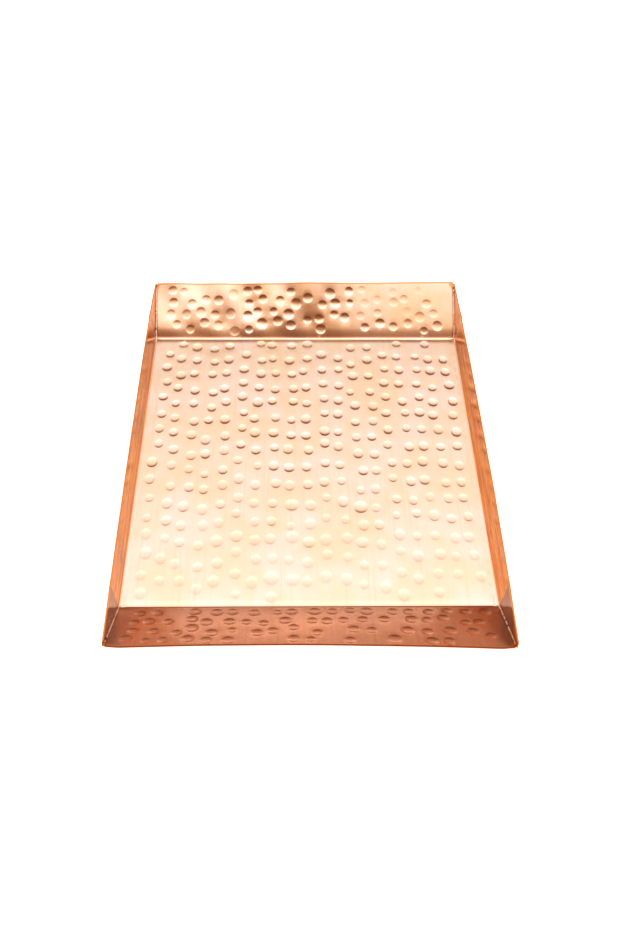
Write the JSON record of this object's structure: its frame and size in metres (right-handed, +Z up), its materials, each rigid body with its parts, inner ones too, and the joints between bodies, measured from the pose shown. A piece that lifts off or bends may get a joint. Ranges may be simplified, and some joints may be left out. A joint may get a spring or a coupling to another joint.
{
  "type": "serving tray",
  "caption": "Low rectangular serving tray of hammered copper sheet, with upright side walls, long sloping ends and brazed corners.",
  "frame": {"origin": "middle of the flat underside that the tray rests on", "axes": "+Z up out of the tray, +Y along its length towards the back end wall, +X to the right"},
  "size_m": [0.238, 0.3472, 0.0235],
  "materials": {
    "copper_sheet": "hammered and brushed bright copper, lengthwise grain",
    "braze": "dressed braze bead, satin, with dark flux specks"
  },
  "bodies": {
    "root": {"tray_sheet": "copper_sheet", "corner_seam_front_left": "braze", "corner_seam_front_right": "braze", "corner_seam_back_left": "braze", "corner_seam_back_right": "braze"}
  },
  "joints": []
}
